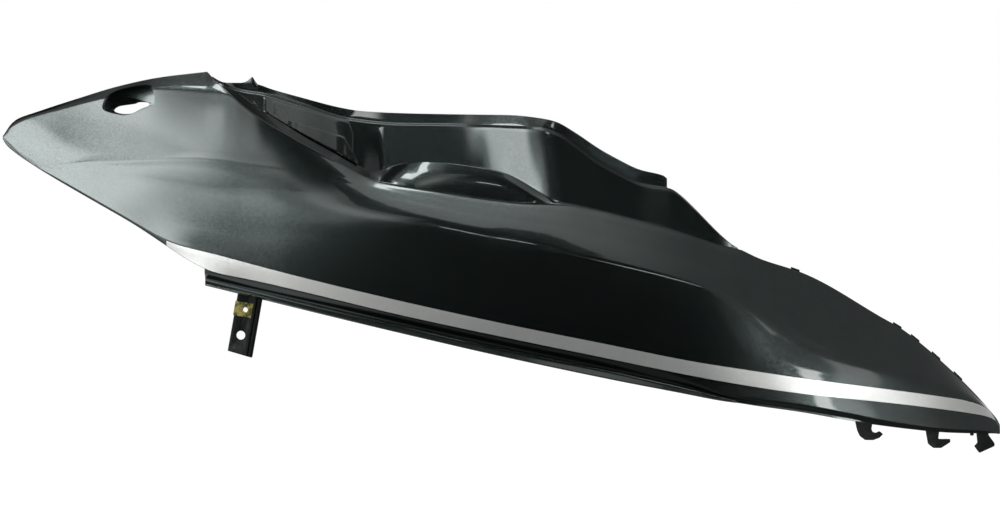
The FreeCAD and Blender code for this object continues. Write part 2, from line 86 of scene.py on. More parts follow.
TURN = [(187, 22, 149), (228, 19, 141), (274, 14.5, 130.5), (364, 9, 109), (455, 6.5, 89.5), (545, 7, 71),
        (600, 9, 60), (636, 12, 46.5), (654, 14.5, 39), (674, 17.5, 35.5), (727, 25.5, 28.5),
        (773, 37.5, 20), (801, 45.5, 14.5), (820, 52, 11), (845, 60.5, 7.5), (873, 71, 4.6),
        (902, 85.5, 3.2), (917, 95.6, 2.2)]
GROOVE = [(187, 31, 143.5), (228, 27, 133.5), (274, 23, 123), (364, 18, 102.5), (455, 16, 82),
          (545, 17, 63), (599, 18, 51), (636, 20, 42), (654, 21, 36.2), (674, 22, 33), (727, 30, 25.8),
          (778, 42, 16), (801, 47.5, 12), (820, 54, 8.9), (845, 61.8, 5.6), (873, 72, 3), (902, 86, 1.8),
          (917, 95.3, 1.1)]
LIP = [(187, 28, 138.5), (228, 24, 128.5), (274, 20, 117), (364, 14.5, 95.5), (455, 12.5, 74.5),
       (545, 13, 55.5), (636, 18, 37.5), (681, 23, 29), (727, 31, 22.5), (778, 42.5, 13), (820, 55.5, 6.8),
       (868, 71.5, 1.6), (902, 86.4, 0.4), (917, 95, 0)]

# Behind the shoulder: wall foot (ledge line, then the arc of the domed bulge), wall top and seat flange.
FOOT_LEDGE = [(191, 52, 325.4), (210, 50, 316), (217, 49.5, 312), (226, 50, 305), (272, 51.5, 276),
              (318, 53, 250.5), (336, 52.5, 239.5)]
FOOT_DOME = [(336, 52.5, 239.5), (343, 50.5, 241.5), (354, 46, 245.5), (368, 40, 248.5), (386, 34.7, 250),
             (404, 31.8, 249), (427, 29.8, 246), (445, 29, 243), (459, 28.4, 239.5), (473, 27.9, 233),
             (486, 27.2, 225), (505, 26, 213.5)]
WALL_TOP = [(191, 57, 326.2), (211, 61, 316.5), (225, 62, 313.5), (234, 62.5, 312.5), (271, 65, 302.5),
            (317, 68.5, 289), (363, 69.5, 284.5), (409, 70, 284), (430, 69.5, 283), (445, 67.5, 282.5),
            (463, 64, 281.6), (479, 60.8, 280.9), (491, 58.5, 280), (509, 57, 274), (528, 56.5, 261),
            (546, 56, 248), (564, 55.8, 238), (583, 55.5, 229), (596, 55, 226.6), (610, 54.5, 224.6),
            (619, 53.8, 219), (629, 52.8, 210), (640, 51.4, 199), (650, 50, 188.6), (658, 48, 181),
            (666, 45, 174.2), (674, 41, 169.8)]
FLANGE = [(191, 63, 328.5), (202, 66, 323), (216, 68, 323), (231, 69, 322), (244, 70, 317.5),
          (271, 72, 310), (308, 74.5, 300.5), (326, 75.5, 297.5), (363, 76.5, 295.5), (409, 77, 294.5),
          (430, 76.5, 294.2), (464, 71.5, 293.5), (488, 66, 291), (505, 63.8, 287.5), (523, 63, 277.5),
          (546, 62.5, 262), (564, 62.2, 252), (583, 61.8, 243), (596, 61.3, 240), (604, 60.8, 238),
          (607.5, 60.5, 235)]

# Ends of the lofts, where the outline has a corner: the ends of the rails.
TIP = TOP_FRONT[0][0] + 0.5
PEAK, TAIL, END = TOP_FRONT[-1][0], TOP_MID[-1][0], TOP_TAIL[-1][0]
STEP, VALLEY, FOLD = FOOT_LEDGE[0][0], FOOT_LEDGE[-1][0], FOOT_DOME[-1][0]
FLANGE_END = FLANGE[-1][0]
RECESS_END = TAIL - 3
ROLL_END = ROLL[-1][0]
SLACK = 0.01

# Length over which a rail is eased: on the face, on the outline and on the rolled edge; and how far on
# either side of its end the rolled edge runs into the crest.
FACE_EASE, EDGE_EASE, ROLL_EASE = 30.0, 6.0, 14.0
JOIN_REACH = 30.0
EASE_STEPS = 6
# The crest's bevel takes at most a share of the upper face, and its depth is a share of its height.
BEVEL_SHARE, BEVEL_DEPTH = 0.4, 0.4
# The front tip is round over a length, and cut off a little way into it.
TIP_ROUND, TIP_CUT = 7.0, 0.3

# Behind the fold the wall's foot follows the crest: its offsets behind and above it, as (x, offset).
FOOT_BEHIND = [(FOLD, 4.5), (TAIL, 3.0)]
FOOT_ABOVE = [(FOLD, 2.0), (TAIL, 0.6)]
# The wall's bend leans to the right on its way down: how far it stands to the left at the top and to the
# right at the foot, and the share of both, as (x, share).
BEND_UP, BEND_DOWN = 8.0, 9.0
BEND_SHARE = [(380, 0), (420, 1), (530, 1), (580, 0)]
# The wall comes forward on its way down, as (x, slope), and the shelf at its foot has a least depth.
WALL_SLOPE = [(312, 0.45), (346, 0.23)]
SHELF_DEPTH = 1.6
DOME_FULLNESS = 0.8
# Step from the wall's top to the flange in depth and height, and its share as it fades out, as (x, share).
FLANGE_STEP = [4.8, 1.6]
FLANGE_STEP_SHARE = [(625, 1), (RECESS_END, 0.15)]


def cubic(points, xs, k):
    """Monotone cubic through a rail's points at every x of xs."""
    px = np.array([p[0] for p in points], float)
    py = np.array([p[k] for p in points], float)
    h = np.diff(px)
    slope = np.diff(py) / h
    m = np.zeros(len(px))
    m[0], m[-1] = slope[0], slope[-1]
    a, b = slope[:-1], slope[1:]
    same = a * b > 0
    m[1:-1][same] = 2 * a[same] * b[same] / (a[same] + b[same])
    x = np.clip(xs, px[0], px[-1])
    i = np.clip(np.searchsorted(px, x, side="right") - 1, 0, len(h) - 1)
    t = (x - px[i]) / h[i]
    return ((2 * t**3 - 3 * t**2 + 1) * py[i] + (t**3 - 2 * t**2 + t) * m[i] * h[i]
            + (3 * t**2 - 2 * t**3) * py[i + 1] + (t**3 - t**2) * m[i + 1] * h[i])


def averaged(curve, xs, width):
    """Mean of a curve over a width on either side of every x, weighted towards the middle."""
    steps = range(1 - EASE_STEPS, EASE_STEPS)
    total = sum((EASE_STEPS - abs(i)) * curve(xs + i * width / EASE_STEPS) for i in steps)
    return total / EASE_STEPS ** 2


def at(rail, xs, ease=FACE_EASE):
    """(y, z) of a rail at every x of xs, averaged over a short length."""
    def plain(x):
        return np.stack([cubic(rail, x, k) for k in (1, 2)], -1)

    xs = np.asarray(xs, float)
    room = np.minimum(np.maximum(0, xs - rail[0][0]), np.maximum(0, rail[-1][0] - xs))
    return averaged(plain, xs, np.minimum(ease, room))


def ramp(xs, pairs):
    """Value at every x of xs, on straight lines between (x, value) pairs."""
    return np.interp(xs, [p[0] for p in pairs], [p[1] for p in pairs])


def top(xs):
    """Outer edge of the main face, joined from its three rails."""
    xs = np.asarray(xs, float)
    out = at(TOP_TAIL, xs, EDGE_EASE)
    mid, front = xs < TAIL, xs < PEAK
    out[mid] = at(TOP_MID, xs[mid], EDGE_EASE)
    out[front] = at(TOP_FRONT, xs[front], EDGE_EASE)
    return out


def plain_roll(xs):
    """Start of the rolled edge on the wing, and behind it the foot of the crest's bevel."""
    crest, low = top(xs), at(CREASE_1, xs)
    drop = np.minimum(CREST_BEVEL, BEVEL_SHARE * (crest[:, 1] - low[:, 1]))
    out = np.stack([crest[:, 0] - BEVEL_DEPTH * drop, crest[:, 1] - drop], -1)
    front = xs < ROLL_END
    out[front] = at(ROLL, xs[front], ROLL_EASE)
    return out


def roll(xs):
    """Start of the rolled edge, eased where it runs into the crest."""
    width = ROLL_EASE * np.clip(1 - abs(xs - ROLL_END) / JOIN_REACH, 0, 1)
    return averaged(plain_roll, xs, width)


def foot(xs):
    """Foot of the wall behind the shoulder."""
    xs = np.asarray(xs, float)
    out = top(xs) + np.stack([ramp(xs, FOOT_BEHIND), ramp(xs, FOOT_ABOVE)], -1)
    dome, ledge = xs < FOLD, xs < VALLEY
    out[dome] = at(FOOT_DOME, xs[dome], EDGE_EASE)
    out[ledge] = at(FOOT_LEDGE, xs[ledge], EDGE_EASE)
    return out


def recess_corners(xs):
    """Corners of the section behind the crest, from the flange down to the domed bulge."""
    crest, base = top(xs), foot(xs)
    wall = at(WALL_TOP, xs, EDGE_EASE)
    bend = ramp(xs, BEND_SHARE)
    wall[:, 0] = at(WALL_TOP, xs + BEND_UP * bend, EDGE_EASE)[:, 0]
    wall_low = at(WALL_TOP, xs - BEND_DOWN * bend, EDGE_EASE)[:, 0]
    depth = wall_low - ramp(xs, WALL_SLOPE) * (wall[:, 1] - base[:, 1])
    back = np.stack([np.maximum(base[:, 0] + SHELF_DEPTH, depth), base[:, 1] - SHELF_DROP], -1)
    step = wall + np.outer(ramp(xs, FLANGE_STEP_SHARE), FLANGE_STEP)
    # The dome stands out square to the line from the crest to the foot.
    d = base - crest
    normal = np.stack([-d[:, 1], d[:, 0]], -1) / np.hypot(d[:, 0], d[:, 1])[:, None]
    t = np.clip((xs - VALLEY) / (FOLD - VALLEY), 0, 1)
    bulge = DOME * np.sin(math.pi * t)[:, None] ** DOME_FULLNESS * normal
    dome_1, dome_2 = crest + d / 3 + bulge, crest + 2 * d / 3 + bulge
    return [at(FLANGE, xs, EDGE_EASE), step, wall, back, base, dome_2, dome_1]


# Corners down the section, each with the number of cells to the next one and the crown of that stretch.
CORNERS = [("flange", 3, 0), ("step", 2, 0), ("wall", 14, 0), ("back", 4, 0), ("base", 5, 0),
           ("dome_2", 5, 0), ("dome_1", 5, 0), ("crest", 2, 0), ("roll", 12, 0.012), ("crease_1", 12, 0.014),
           ("crease_2", 16, 0.012), ("stripe_top", 5, 0), ("stripe_low", 2, 0), ("turn", 5, 0),
           ("groove", 4, 0), ("lip", 0, 0)]
NAMES = [c[0] for c in CORNERS]
# How far the rounding of each corner reaches on either side of it, as (x, reach).
ROUNDING = {
    "step": [(0, 0.8)],
    "wall": [(0, 1.2)],
    "back": [(0, 1.5)],
    "base": [(VALLEY, 0.6), (VALLEY + 20, 1.0), (FOLD - 10, 0.8), (FOLD, 2), (FOLD + 15, 4)],
    "dome_2": [(0, 14)],
    "dome_1": [(0, 14)],
    "crest": [(PEAK, 1.4), (PEAK + 20, 0.7), (TAIL, 0.7), (TAIL + 40, 1.2)],
    "roll": [(0, 2), (142, 2.5), (187, 5), (215, 2), (240, 0.8)],
    "crease_1": [(0, 5), (40, 2.2), (330, 2.2), (350, 12), (400, 40)],
    "crease_2": [(0, 60), (300, 60), (380, 26), (480, 8), (520, 3), (640, 3), (672, 16), (700, 40)],
    "stripe_top": [(0, 3), (140, 3), (165, 8), (200, 14)],
    "stripe_low": [(0, 2.2)],
    "turn": [(0, 2.0)],
    "groove": [(0, 4.0)]}
# A rounding takes at most this share of the stretches beside it, and is drawn in this many steps.
ROUNDING_SHARE = 0.47
ARC = 6


def chain(xs):
    """Corners of the whole section at every station and the rounding of each."""
    recess = recess_corners(xs)
    crest = top(xs)
    face = [roll(xs)] + [at(rail, xs) for rail in (CREASE_1, CREASE_2, STRIPE_TOP, STRIPE_LOW)]
    low = [at(rail, xs) for rail in (TURN, GROOVE, LIP)]
    # Where the recess or the turned edge isn't there, its corners carry on the face's nearest stretch.
    bare = (xs < STEP - SLACK) | (xs > RECESS_END + SLACK)
    for k in range(len(recess)):
        recess[k] = np.where(bare[:, None], crest + (crest - face[0]) * (len(recess) - k), recess[k])
    ahead = xs < PEAK
    for k in range(len(low)):
        low[k] = np.where(ahead[:, None], face[-1] + (face[-1] - face[-2]) * (k + 1), low[k])
    return recess + [crest] + face + low, {name: ramp(xs, pairs) for name, pairs in ROUNDING.items()}


def section_rows(xs):
    """Rows of (y, z) down the section, each as long as xs, and the row number of each named corner."""
    corners, rounding = chain(xs)
    n = len(corners)
    length = [np.hypot(*(corners[i + 1] - corners[i]).T) for i in range(n - 1)]
    cut = [np.zeros(len(xs))]
    for i in range(1, n - 1):
        cut.append(np.minimum(rounding[NAMES[i]], ROUNDING_SHARE * np.minimum(length[i - 1], length[i])))
    cut.append(np.zeros(len(xs)))
    rows, index = [], {}
    for i in range(n):
        c = corners[i]
        name, cells, crown = CORNERS[i]
        if 0 < i < n - 1:
            back = (corners[i - 1] - c) / length[i - 1][:, None]
            on = (corners[i + 1] - c) / length[i][:, None]
            a, b = c + back * cut[i][:, None], c + on * cut[i][:, None]
            for step in range(ARC + 1):
                t = step / ARC
                if step == ARC // 2:
                    index[name] = len(rows)
                rows.append((1 - t) ** 2 * a + 2 * t * (1 - t) * c + t * t * b)
        else:
            index[name] = len(rows)
            rows.append(c)
        if i < n - 1:
            start = c + (corners[i + 1] - c) * (cut[i] / length[i])[:, None]
            stop = corners[i + 1] + (c - corners[i + 1]) * (cut[i + 1] / length[i])[:, None]
            d = stop - start
            out = np.stack([d[:, 1], -d[:, 0]], -1)
            for step in range(1, cells):
                t = step / cells
                rows.append(start + d * t + out * crown * 4 * t * (1 - t))
    return np.stack(rows, 0), index


def place(x, y, z):
    """Point of the drawing in the model's axes, in metres."""
    return ((x - HOLE_X) / 1000, (y - HOLE_Y) / 1000, (z - HOLE_Z) / 1000)


def spaced(start, end, step):
    """Even stations from start to end, about one step apart."""
    return list(np.linspace(start, end, max(2, int(round((end - start) / step)) + 1)))


# Lengths of the skin's cells, and the stations that stand closer together at its ends and at the peak.
SHORT_CELL, CELL, LONG_CELL = 2, 3, 3.2
TIP_STATIONS = [TIP, 1.2, 2.2, 3.5, 5, 7]
PEAK_STATIONS = [PEAK - 3, PEAK - 1, PEAK, PEAK + 2]
END_STATIONS = [END - 3, END - 1.5, END - 0.6, END]


def columns():
    """Stations of the skin, with one at every corner of the outline."""
    xs = TIP_STATIONS + spaced(9, PEAK - 6, LONG_CELL) + PEAK_STATIONS + spaced(STEP, STEP + 20, SHORT_CELL)
    xs += spaced(STEP + 22, VALLEY - 1, CELL) + [VALLEY] + spaced(VALLEY + 1, FOLD - 1, CELL) + [FOLD]
    xs += spaced(FOLD + 1, FLANGE_END, CELL) + spaced(FLANGE_END + 1, RECESS_END, CELL) + [TAIL]
    xs += spaced(TAIL + 3, STRIPE_END, LONG_CELL) + END_STATIONS
    return np.array(sorted(set(round(float(x), 3) for x in xs)))


def mesh_object(name, verts, faces):
    """New object from points in metres."""
    mesh = bpy.data.meshes.new(name)
    mesh.from_pydata([tuple(v) for v in verts], [], faces)
    mesh.validate()
    mesh.update()
    ob = bpy.data.objects.new(name, mesh)
    bpy.context.scene.collection.objects.link(ob)
    return ob


def apply_modifiers(ob):
    """Gives a piece the mesh that its modifiers make."""
    bpy.context.view_layer.update()
    graph = bpy.context.evaluated_depsgraph_get()
    mesh = bpy.data.meshes.new_from_object(ob.evaluated_get(graph), depsgraph=graph)
    old = ob.data
    ob.modifiers.clear()
    ob.data = mesh
    mesh.name = ob.name
    if old.users == 0:
        bpy.data.meshes.remove(old)


def smooth_shade(ob, degrees):
    """Smooth faces, with a sharp edge where two of them meet at more than an angle."""
    mesh = ob.data
    for p in mesh.polygons:
        p.use_smooth = True
    mesh.set_sharp_from_angle(angle=math.radians(degrees))


def thicken(ob, mm, outwards, even):
    """Gives a surface a thickness, measured square to its faces where even is set."""
    mod = ob.modifiers.new("thickness", "SOLIDIFY")
    mod.thickness = mm / 1000
    mod.offset = 1 if outwards else -1
    mod.use_even_offset = even
    apply_modifiers(ob)


def build_skin():
    """Outer surface of the shell, its stations, its rows of (y, z) and the row number of each corner."""
    xs = columns()
    rows, index = section_rows(xs)
    # The tip is round: the first sections close in on their middle.
    t = np.clip((xs - TIP + TIP_CUT) / TIP_ROUND, 0, 1)
    close = np.sqrt(1 - (1 - t) ** 2)[None, :, None]
    middle = rows[index["crease_1"]][None]
    rows = middle + (rows - middle) * close

    def has_cell(r, c):
        """Whether the panel is there between two rows and two stations."""
        x0, x1 = xs[c], xs[c + 1]
        if r < index["crest"] and not (x0 >= STEP - SLACK and x1 <= RECESS_END + SLACK):
            return False
        if r <= index["step"] and x1 > FLANGE_END + SLACK:
            return False
        return r < index["stripe_low"] or x0 >= PEAK - SLACK

    cells = [(r, c) for r in range(len(rows) - 1) for c in range(len(xs) - 1) if has_cell(r, c)]
    number, verts = {}, []
    for r, c in cells:
        for corner in ((r, c), (r, c + 1), (r + 1, c + 1), (r + 1, c)):
            if corner not in number:
                number[corner] = len(verts)
                verts.append(place(xs[corner[1]], *rows[corner]))
    faces = [(number[r, c], number[r + 1, c], number[r + 1, c + 1], number[r, c + 1]) for r, c in cells]
    return mesh_object("panel_skin", verts, faces), xs, rows, index


skin, XS, ROWS, INDEX = build_skin()
thicken(skin, WALL, outwards=False, even=True)


def node_of(tree, kind, **values):
    """New node with its properties set."""
    node = tree.nodes.new(kind)
    for key, value in values.items():
        setattr(node, key, value)
    return node


def feed(tree, socket, value):
    """Gives an input a number or another node's output."""
    if isinstance(value, (int, float)):
        socket.default_value = value
    else:
        tree.links.new(value, socket)


def soft_step(tree, value, start, stop, low=0.0, high=1.0):
    """Smooth step of a value from low at start to high at stop."""
    node = node_of(tree, "ShaderNodeMapRange", interpolation_type="SMOOTHSTEP")
    tree.links.new(value, node.inputs["Value"])
    for name, number in (("From Min", start), ("From Max", stop), ("To Min", low), ("To Max", high)):
        node.inputs[name].default_value = number
    return node.outputs["Result"]


def maths(tree, operation, a, b):
    """Maths node on two sockets or numbers."""
    node = node_of(tree, "ShaderNodeMath", operation=operation)
    feed(tree, node.inputs[0], a)
    feed(tree, node.inputs[1], b)
    return node.outputs["Value"]


def noise(tree, scale, detail, rough=0.5):
    """Noise on the piece's own coordinates, with its scale in cells per metre."""
    where = node_of(tree, "ShaderNodeTexCoord").outputs["Object"]
    node = node_of(tree, "ShaderNodeTexNoise")
    tree.links.new(where, node.inputs["Vector"])
    node.inputs["Scale"].default_value = scale
    node.inputs["Detail"].default_value = detail
    node.inputs["Roughness"].default_value = rough
    return node.outputs["Fac"]


def flake(tree, size, tilt):
    """Normal that leans a random way in every flake of the given size in metres, and the flake's shade."""
    where = node_of(tree, "ShaderNodeTexCoord").outputs["Object"]
    cells = node_of(tree, "ShaderNodeTexVoronoi")
    tree.links.new(where, cells.inputs["Vector"])
    cells.inputs["Scale"].default_value = 1 / size
    offset = node_of(tree, "ShaderNodeVectorMath", operation="SUBTRACT")
    tree.links.new(cells.outputs["Color"], offset.inputs[0])
    offset.inputs[1].default_value = (0.5, 0.5, 0.5)
    lean = node_of(tree, "ShaderNodeVectorMath", operation="SCALE")
    tree.links.new(offset.outputs["Vector"], lean.inputs[0])
    lean.inputs["Scale"].default_value = tilt
    total = node_of(tree, "ShaderNodeVectorMath", operation="ADD")
    tree.links.new(node_of(tree, "ShaderNodeNewGeometry").outputs["Normal"], total.inputs[0])
    tree.links.new(lean.outputs["Vector"], total.inputs[1])
    unit = node_of(tree, "ShaderNodeVectorMath", operation="NORMALIZE")
    tree.links.new(total.outputs["Vector"], unit.inputs[0])
    shade = node_of(tree, "ShaderNodeSeparateColor")
    tree.links.new(cells.outputs["Color"], shade.inputs["Color"])
    return unit.outputs["Vector"], shade.outputs["Red"]


def blend_color(tree, factor, low, high):
    """Colour between two by a factor."""
    node = node_of(tree, "ShaderNodeMix", data_type="RGBA")
    tree.links.new(factor, node.inputs["Factor"])
    node.inputs["A"].default_value = (*low, 1)
    node.inputs["B"].default_value = (*high, 1)
    return node.outputs["Result"]


def base_material(name, rough, metal=0.0, coat=0.0, coat_rough=0.03):
    material = bpy.data.materials.new(name)
    material.use_nodes = True
    shader = material.node_tree.nodes["Principled BSDF"]
    shader.inputs["Roughness"].default_value = rough
    shader.inputs["Metallic"].default_value = metal
    shader.inputs["Coat Weight"].default_value = coat
    shader.inputs["Coat Roughness"].default_value = coat_rough
    return material, material.node_tree, shader


def add_flakes(tree, shader, size, tilt, clouds, cloud_share, dark, light):
    """Small leaning flakes, and a colour from their shades and from larger clouds."""
    normal, shade = flake(tree, size, tilt)
    cloud = maths(tree, "MULTIPLY", noise(tree, clouds, detail=3), cloud_share)
    mixed = maths(tree, "ADD", maths(tree, "MULTIPLY", shade, 1 - cloud_share), cloud)
    tree.links.new(blend_color(tree, mixed, dark, light), shader.inputs["Base Color"])
    tree.links.new(normal, shader.inputs["Normal"])


def make_paint():
    """Dark metallic paint: fine flakes under a clear coat, with a slight cloudiness in the spray."""
    material, tree, shader = base_material("anthracite paint", rough=0.22, metal=0.9, coat=0.75)
    add_flakes(tree, shader, size=0.0011, tilt=0.04, clouds=28, cloud_share=0.6,
               dark=(0.013, 0.018, 0.0175), light=(0.034, 0.047, 0.044))
    return material


def make_film():
    """Silver vinyl film with a fine metallic grain."""
    material, tree, shader = base_material("silver film", rough=0.31, metal=0.7, coat=0.25, coat_rough=0.12)
    add_flakes(tree, shader, size=0.0007, tilt=0.05, clouds=45, cloud_share=0.5,
               dark=(0.56, 0.57, 0.56), light=(0.68, 0.69, 0.67))
    return material


def grain_bump(tree, shader, scale, height):
    """Fine grain in the surface, with its height in metres."""
    bump = node_of(tree, "ShaderNodeBump")
    tree.links.new(noise(tree, scale, detail=3), bump.inputs["Height"])
    bump.inputs["Strength"].default_value = 0.5
    bump.inputs["Distance"].default_value = height
    tree.links.new(bump.outputs["Normal"], shader.inputs["Normal"])


def make_black():
    """Bare black plastic with the fine grain of a spark-eroded mould."""
    material, tree, shader = base_material("black plastic", rough=0.45)
    shader.inputs["Specular IOR Level"].default_value = 0.15
    color = blend_color(tree, noise(tree, 120, detail=3), (0.005, 0.006, 0.006), (0.010, 0.012, 0.013))
    tree.links.new(color, shader.inputs["Base Color"])
    rough = soft_step(tree, noise(tree, 200, detail=2), 0.3, 0.7, low=0.36, high=0.52)
    tree.links.new(rough, shader.inputs["Roughness"])
    grain_bump(tree, shader, 1600, height=0.0001)
    return material


def make_zinc():
    """Yellow passivated sheet metal: olive to straw with a hint of green."""
    material, tree, shader = base_material("yellow zinc", rough=0.34, metal=0.85)
    patches = soft_step(tree, noise(tree, 260, detail=4, rough=0.6), 0.35, 0.65)
    color = blend_color(tree, patches, (0.05, 0.05, 0.02), (0.42, 0.38, 0.12))
    tree.links.new(color, shader.inputs["Base Color"])
    grain_bump(tree, shader, 2200, height=0.00005)
    return material


PAINT = make_paint()
FILM = make_film()
BLACK = make_black()
ZINC = make_zinc()


def outward(ob):
    """Turns the normals of all faces outwards."""
    bm = bmesh.new()
    bm.from_mesh(ob.data)
    bmesh.ops.recalc_face_normals(bm, faces=bm.faces)
    bm.to_mesh(ob.data)
    bm.free()
    return ob


def prism(name, near, far):
    """Closed solid between two outlines with the same number of points."""
    n = len(near)
    faces = [tuple(range(n)), tuple(reversed(range(n, 2 * n)))]
    faces += [(i, n + i, n + (i + 1) % n, (i + 1) % n) for i in range(n)]
    return outward(mesh_object(name, list(near) + list(far), faces))


def slab(name, outline, y0, y1):
    """Solid with an (x, z) outline of the drawing, between two depths."""
    return prism(name, [place(x, y0, z) for x, z in outline], [place(x, y1, z) for x, z in outline])


def combine(a, b, how):
    """Joins a second solid to the first or cuts it away, and removes the second."""
    mod = a.modifiers.new(how, "BOOLEAN")
    mod.operation = how
    mod.solver = "EXACT"
    mod.object = b
    apply_modifiers(a)
    bpy.data.objects.remove(b)


def bevel(ob, mm, degrees=40, segments=2):
    """Bevels the edges that are sharper than an angle, and shades the piece."""
    mod = ob.modifiers.new("bevel", "BEVEL")
    mod.width = mm / 1000
    mod.segments = segments
    mod.limit_method = "ANGLE"
    mod.angle_limit = math.radians(degrees)
    apply_modifiers(ob)
    smooth_shade(ob, degrees=35)
    return ob


def section_part(x, first, last=None):
    """Depths and heights of the skin's section nearest x, from one row to another."""
    i = int(np.argmin(abs(XS - x)))
    return ROWS[first:last, i, 0], ROWS[first:last, i, 1]


def face_depth(x, z):
    """Depth of the outer face at a point of the drawing."""
    ys, zs = section_part(x, INDEX["crest"])
    return float(ys[int(np.argmin(abs(zs - z)))])


def wall_depth(x, z):
    """Depth of the wall behind the shoulder at a point of the drawing."""
    ys, zs = section_part(x, INDEX["wall"], INDEX["back"])
    return float(np.interp(-z, -zs, ys))


# How far a hook and the flange's pointed end stand in front of the skin's own depth there.
PROUD = 0.3

# Mounting leg in its own axes, u across and w up from the centre of the large hole: the plate, two ribs on
# its front, a thicker upper half behind, and the block that joins it to the skin.
LEG_LEAN = math.radians(10)
LEG_LEFT, LEG_RIGHT, LEG_TOP, LEG_HALF = -9.3, 13.7, 72, 1.5
LEG_OUTLINE = [(LEG_LEFT, -16), (LEG_RIGHT - 0.8, -18.5), (LEG_RIGHT, -17.5), (LEG_RIGHT, LEG_TOP),
               (LEG_LEFT, LEG_TOP)]
RIB_INSETS, RIB_WIDTH, RIB_DEPTH = (6.6, 3.4), 1.6, 2.6
RIB_LOW, RIB_TOP = (-17.6, -17.8), 66
PAD_INSET, PAD_DEPTH = 6, 1.2
PAD_LOW, PAD_TOP = 9.5, 70
BRIDGE = [(211, 148), (244, 148), (244, 163), (211, 163)]
BRIDGE_BEHIND = 1.4
LARGE_HOLE, SMALL_HOLE, LEG_PITCH = 4.0, 2.3, 23.5
DRILL_REACH = 0.03


def leg_point(u, w, y):
    """Point of the leg in the model's axes, in metres."""
    c, s = math.cos(LEG_LEAN), math.sin(LEG_LEAN)
    return ((u * c + w * s) / 1000, y / 1000, (w * c - u * s) / 1000)


def leg_plate(name, outline, y0, y1):
    return prism(name, [leg_point(u, w, y0) for u, w in outline], [leg_point(u, w, y1) for u, w in outline])


def drill(ob, centre, radius, sides):
    """Cuts a round hole along Y, with its centre in metres and its radius in millimetres."""
    angles = [2 * math.pi * i / sides for i in range(sides)]
    r = radius / 1000
    rings = []
    for y in (centre[1] - DRILL_REACH, centre[1] + DRILL_REACH):
        rings.append([(centre[0] + r * math.cos(a), y, centre[2] + r * math.sin(a)) for a in angles])
    combine(ob, prism("drill", rings[0], rings[1]), "DIFFERENCE")


def build_leg():
    """Leg with its ribs, pad, bridge and holes, as one solid."""
    leg = leg_plate("leg", LEG_OUTLINE, -LEG_HALF, LEG_HALF)
    for inset in RIB_INSETS:
        left, right = LEG_RIGHT - inset, LEG_RIGHT - inset + RIB_WIDTH
        rib = [(left, RIB_LOW[0]), (right, RIB_LOW[1]), (right, RIB_TOP), (left, RIB_TOP)]
        combine(leg, leg_plate("rib", rib, -LEG_HALF - RIB_DEPTH, 0), "UNION")
    right = LEG_RIGHT - PAD_INSET
    pad = [(LEG_LEFT, PAD_LOW), (right, PAD_LOW), (right, PAD_TOP), (LEG_LEFT, PAD_TOP)]
    combine(leg, leg_plate("pad", pad, 0, LEG_HALF + PAD_DEPTH), "UNION")
    near = [place(x, face_depth(x, z) + BRIDGE_BEHIND, z) for x, z in BRIDGE]
    far = [place(x, HOLE_Y + LEG_HALF, z) for x, z in BRIDGE]
    combine(leg, prism("bridge", near, far), "UNION")
    drill(leg, leg_point(0, 0, 0), LARGE_HOLE, sides=48)
    drill(leg, leg_point(0, LEG_PITCH, 0), SMALL_HOLE, sides=32)
    return bevel(leg, 0.35)


# Snap hooks under the tail and the short stop beside the last one, as (x, z) outlines.
HOOKS = [
    [(778, 14.5), (780, 5.5), (782.5, 0), (787.5, -3.8), (795, -4), (801, -2), (804.5, 1.5), (801, 4.2),
     (797.5, 2.6), (794.5, 3.6), (793.5, 6), (794.5, 12.5)],
    [(844.5, 5.5), (847, -8), (852, -12), (859.5, -12.2), (868.3, -7), (868.3, -4), (856.8, -3.8),
     (857.8, 4.2)],
    [(893.5, 2.2), (894.7, -8), (891.5, -11), (896.5, -17.5), (911.5, -11.5), (911.5, -8.8), (905.5, -1),
     (905.8, 1.6)],
    [(887.5, 4), (887.5, -1.3), (891, -1.3), (891, 4)]]
HOOK_PLATE = 4.0


def build_hook(outline, number):
    """Plate that hangs from the lip and follows it in plan from one end to the other."""
    ends = [min(p[0] for p in outline), max(p[0] for p in outline)]
    depths = at(LIP, ends)[:, 0]
    near, far = [], []
    for x, z in outline:
        y = float(np.interp(x, ends, depths)) - PROUD
        near.append(place(x, y, z))
        far.append(place(x, y + HOOK_PLATE, z))
    return bevel(prism("hook_%d" % number, near, far), 0.8, degrees=25, segments=3)


# Pointed end of the seat flange behind the peak, as an (x, z) outline.
SPIKE = [(216.5, 318), (217.5, 323), (220, 323.6), (222.5, 324.6), (224.6, 326.2), (226.4, 328),
         (227.4, 328.6), (228.2, 327.6), (229.6, 325), (231, 323), (232.5, 321.4), (232.5, 316)]


def build_spike():
    point = max(SPIKE, key=lambda p: p[1])
    y = float(at(FLANGE, [point[0]], EDGE_EASE)[0, 0])
    return bevel(slab("flange_spike", SPIKE, y - PROUD, y + WALL), 0.5)


# Upper edges, as (x, z), of the two raised fields on the left part of the wall; both end in a slanted step.
UPPER_FIELD = [(238, 309.6), (254, 304.8), (272, 299.8), (290, 294.8), (304, 291), (316, 288), (320.5, 276)]
LOWER_FIELD = [(229, 306), (238, 298.6), (248.5, 293.2), (265, 287.2), (290, 280), (312.5, 273.2),
               (324.5, 250.5)]
# The lower field rises twice as far as the upper one. Both sink into the wall; the upper one reaches behind
# the lower one's edge, and the lower one ends above the wall's foot.
FIELD_RISE, FIELD_SINK = 1.3, 1.2
FIELD_LAP, FIELD_CLEAR = 4, 1.0
FIELD_CELL, FIELD_CELLS = 3, 8


